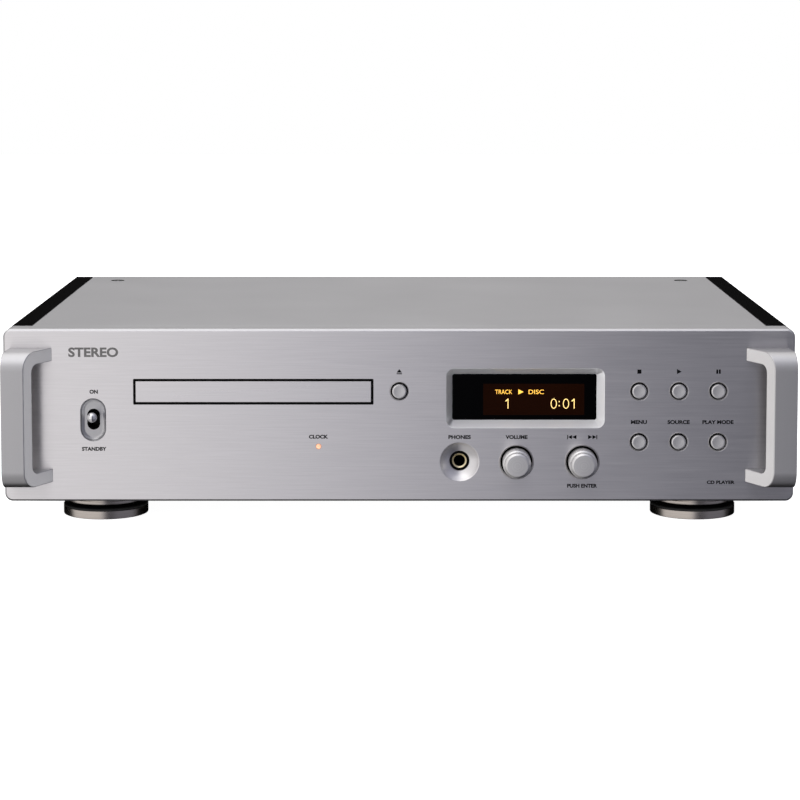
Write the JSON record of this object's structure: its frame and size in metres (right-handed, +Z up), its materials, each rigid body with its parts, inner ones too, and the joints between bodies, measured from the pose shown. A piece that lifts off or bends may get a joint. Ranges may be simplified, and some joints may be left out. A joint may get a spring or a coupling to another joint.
{
  "type": "cd player",
  "caption": "Full-size silver CD player with a front-loading disc tray, dished controls, recessed display, C-shaped side handles and round spiked feet.",
  "frame": {"origin": "under the middle of the object, on the surface that its feet stand on", "axes": "+X to the right seen from the front, -Y out of the front panel, +Z up"},
  "size_m": [0.444, 0.3338, 0.111],
  "materials": {
    "amber_lamp": "frosted",
    "black_plastic": "matt",
    "bright_silver": "fine turned",
    "brushed_silver": "brushed",
    "chrome": "polished",
    "circuit_green": "circuit board",
    "copper": "lacquered winding",
    "dark_glass": "smoked, glossy",
    "dark_nickel": "turned, dark nickel",
    "gold": "gold plated",
    "satin_black": "satin",
    "satin_silver": "satin",
    "steel": "plain steel",
    "white_plastic": "moulded"
  },
  "bodies": {
    "case": {"front_panel": "brushed_silver", "handle_left": "satin_silver", "handle_right": "satin_silver", "side_panel_left": "satin_black", "side_panel_right": "satin_black", "top_cover": "satin_silver", "bottom_plate": "satin_black", "rear_panel": "satin_black", "top_screw_left": "dark_nickel", "top_screw_right": "dark_nickel", "foot_base_front_left": "dark_nickel", "foot_base_front_right": "dark_nickel", "foot_base_rear_left": "dark_nickel", "foot_base_rear_right": "dark_nickel", "foot_cap_front_left": "dark_nickel", "foot_cap_front_right": "dark_nickel", "foot_cap_rear_left": "dark_nickel", "foot_cap_rear_right": "dark_nickel", "power_switch_body": "black_plastic", "display_window": "dark_glass", "display_module": "black_plastic", "headphone_jack": "black_plastic", "headphone_ring": "gold", "clock_lamp": "amber_lamp", "control_board": "circuit_green", "loader_frame": "steel", "loading_motor": "steel", "clamp_bridge": "satin_silver", "spindle_motor": "steel", "power_transformer": "copper", "main_board": "circuit_green", "mains_inlet": "black_plastic", "xlr_left": "dark_nickel", "xlr_right": "dark_nickel", "phono_left": "gold", "phono_right": "gold", "coaxial_output": "gold", "optical_output": "black_plastic", "data_input": "steel", "clock_input": "steel"},
    "tray": {"disc_tray": "black_plastic", "tray_fascia": "brushed_silver"},
    "pinion": {"loading_pinion": "white_plastic"},
    "turntable": {"turntable": "satin_silver"},
    "traverse": {"traverse_base": "black_plastic", "guide_rod": "steel"},
    "hub": {"disc_hub": "chrome"},
    "sled": {"pickup_sled": "black_plastic"},
    "power_lever": {"power_lever": "chrome"},
    "volume": {"volume_knob": "bright_silver", "volume_shaft": "steel"},
    "jog_plunger": {"jog_shaft": "steel"},
    "jog": {"jog_knob": "bright_silver"},
    "eject_button": {"eject_button": "bright_silver"},
    "stop_button": {"stop_button": "bright_silver"},
    "play_button": {"play_button": "bright_silver"},
    "pause_button": {"pause_button": "bright_silver"},
    "menu_button": {"menu_button": "bright_silver"},
    "source_button": {"source_button": "bright_silver"},
    "play_mode_button": {"play_mode_button": "bright_silver"}
  },
  "joints": [
    {"name": "tray_slide", "type": "slide", "parent": "case", "child": "tray", "axis": [0, -1, 0], "range_m": [0, 0.145]},
    {"name": "pinion_spin", "type": "hinge", "parent": "case", "child": "pinion", "pos_m": [-0.0358, -0.1, 0.0711], "axis": [0, 0, 1], "range_deg": [0, 840]},
    {"name": "turntable_spin", "type": "hinge", "parent": "case", "child": "turntable", "pos_m": [-0.0818, -0.062, 0.09], "axis": [0, 0, 1], "continuous": true},
    {"name": "traverse_lift", "type": "slide", "parent": "case", "child": "traverse", "axis": [0, 0, 1], "range_m": [0, 0.008]},
    {"name": "hub_spin", "type": "hinge", "parent": "traverse", "child": "hub", "pos_m": [-0.0818, -0.062, 0.07], "axis": [0, 0, 1], "continuous": true},
    {"name": "sled_slide", "type": "slide", "parent": "traverse", "child": "sled", "axis": [0, 1, 0], "range_m": [0, 0.035]},
    {"name": "power_switch", "type": "hinge", "parent": "case", "child": "power_lever", "pos_m": [-0.1718, -0.1294, 0.0612], "axis": [1, 0, 0], "range_deg": [0, 24]},
    {"name": "eject_press", "type": "slide", "parent": "case", "child": "eject_button", "axis": [0, 1, 0], "range_m": [0, 0.001], "stiffness_N_per_m": 400, "springref_m": -0.0003},
    {"name": "stop_press", "type": "slide", "parent": "case", "child": "stop_button", "axis": [0, 1, 0], "range_m": [0, 0.001], "stiffness_N_per_m": 400, "springref_m": -0.0003},
    {"name": "play_press", "type": "slide", "parent": "case", "child": "play_button", "axis": [0, 1, 0], "range_m": [0, 0.001], "stiffness_N_per_m": 400, "springref_m": -0.0003},
    {"name": "pause_press", "type": "slide", "parent": "case", "child": "pause_button", "axis": [0, 1, 0], "range_m": [0, 0.001], "stiffness_N_per_m": 400, "springref_m": -0.0003},
    {"name": "menu_press", "type": "slide", "parent": "case", "child": "menu_button", "axis": [0, 1, 0], "range_m": [0, 0.001], "stiffness_N_per_m": 400, "springref_m": -0.0003},
    {"name": "source_press", "type": "slide", "parent": "case", "child": "source_button", "axis": [0, 1, 0], "range_m": [0, 0.001], "stiffness_N_per_m": 400, "springref_m": -0.0003},
    {"name": "play_mode_press", "type": "slide", "parent": "case", "child": "play_mode_button", "axis": [0, 1, 0], "range_m": [0, 0.001], "stiffness_N_per_m": 400, "springref_m": -0.0003},
    {"name": "volume_turn", "type": "hinge", "parent": "case", "child": "volume", "pos_m": [0.066, -0.1409, 0.0357], "axis": [0, -1, 0], "continuous": true},
    {"name": "jog_press", "type": "slide", "parent": "case", "child": "jog_plunger", "axis": [0, 1, 0], "range_m": [0, 0.0008], "stiffness_N_per_m": 600, "springref_m": -0.0003},
    {"name": "jog_turn", "type": "hinge", "parent": "jog_plunger", "child": "jog", "pos_m": [0.103, -0.1409, 0.0357], "axis": [0, -1, 0], "continuous": true}
  ],
  "couplings": [
    {"joint": "pinion_spin", "follows": "tray_slide", "rad_per_m": 100},
    {"joint": "hub_spin", "follows": "turntable_spin", "ratio": 1}
  ]
}
